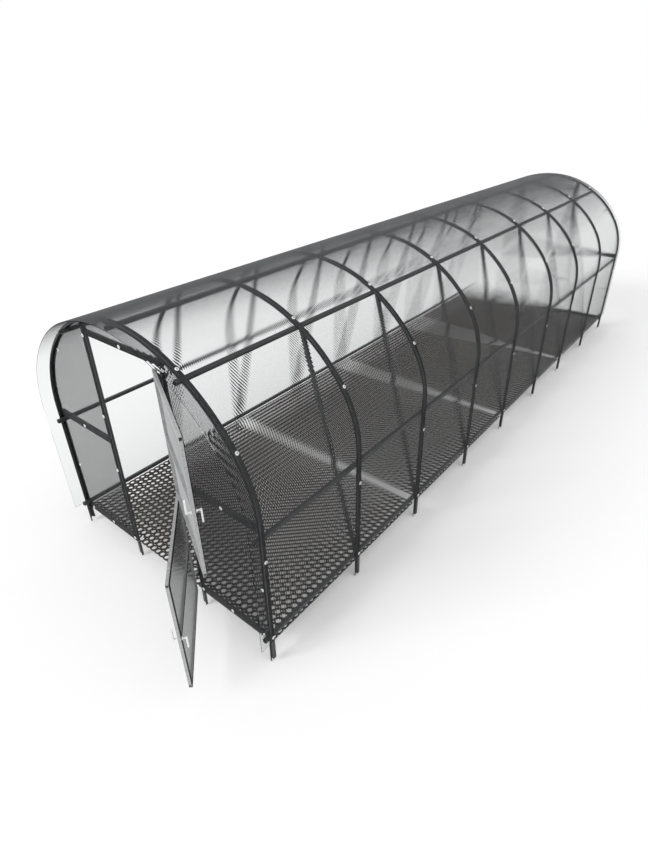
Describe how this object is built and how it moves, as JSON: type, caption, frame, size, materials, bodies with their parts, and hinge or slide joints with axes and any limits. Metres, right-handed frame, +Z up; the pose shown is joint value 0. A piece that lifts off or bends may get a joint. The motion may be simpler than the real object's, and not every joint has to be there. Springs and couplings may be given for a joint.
{
  "type": "polycarbonate greenhouse",
  "caption": "Long arched greenhouse of steel hoops under clear twin-wall sheets, with a two-part stable door and rubber ring floor mats.",
  "frame": {"origin": "midway along and across the plan as it stands with its doors open, on the ground plane of the feet", "axes": "+Z up, +Y from the door gable to the back gable, +X to the right seen from in front of the door"},
  "size_m": [2.508, 8.7423, 2.374],
  "materials": {
    "steel": "dull galvanised grey, lightly mottled",
    "sheet": "clear twin-wall polycarbonate with fine ribs",
    "handle": "satin white",
    "mat": "matt black rubber"
  },
  "bodies": {
    "house": {"hoop_1": "steel", "hoop_2": "steel", "hoop_3": "steel", "hoop_4": "steel", "hoop_5": "steel", "hoop_6": "steel", "hoop_7": "steel", "hoop_8": "steel", "hoop_9": "steel", "braces_left": "steel", "braces_right": "steel", "ridge_purlin": "steel", "upper_purlin_left": "steel", "upper_purlin_right": "steel", "middle_rail_left": "steel", "middle_rail_right": "steel", "base_rail_left": "steel", "base_rail_right": "steel", "front_post_left": "steel", "front_post_right": "steel", "front_lintel": "steel", "front_rails": "steel", "front_hinge_pins": "steel", "front_panel_left": "sheet", "front_panel_right": "sheet", "front_panel_top": "sheet", "back_posts": "steel", "back_lintel": "steel", "back_rails": "steel", "back_panels": "sheet", "back_door": "steel", "back_door_panels": "sheet", "roof_sheet_1": "sheet", "roof_sheet_2": "sheet", "roof_sheet_3": "sheet", "roof_sheet_4": "sheet", "floor_mat_1": "mat", "floor_mat_2": "mat", "floor_mat_3": "mat", "floor_mat_4": "mat"},
    "lower_leaf": {"lower_leaf_frame": "steel", "lower_leaf_panel": "sheet", "lower_leaf_handles": "handle"},
    "upper_leaf": {"upper_leaf_frame": "steel", "upper_leaf_panel": "sheet", "upper_leaf_handles": "handle"}
  },
  "joints": [
    {"name": "lower_leaf_hinge", "type": "hinge", "parent": "house", "child": "lower_leaf", "pos_m": [0.4295, -3.75085, 0.7], "axis": [0, 0, 1], "range_deg": [-138, 30]},
    {"name": "upper_leaf_hinge", "type": "hinge", "parent": "house", "child": "upper_leaf", "pos_m": [0.4295, -3.75085, 1.7], "axis": [0, 0, 1], "range_deg": [-153, 0]}
  ]
}
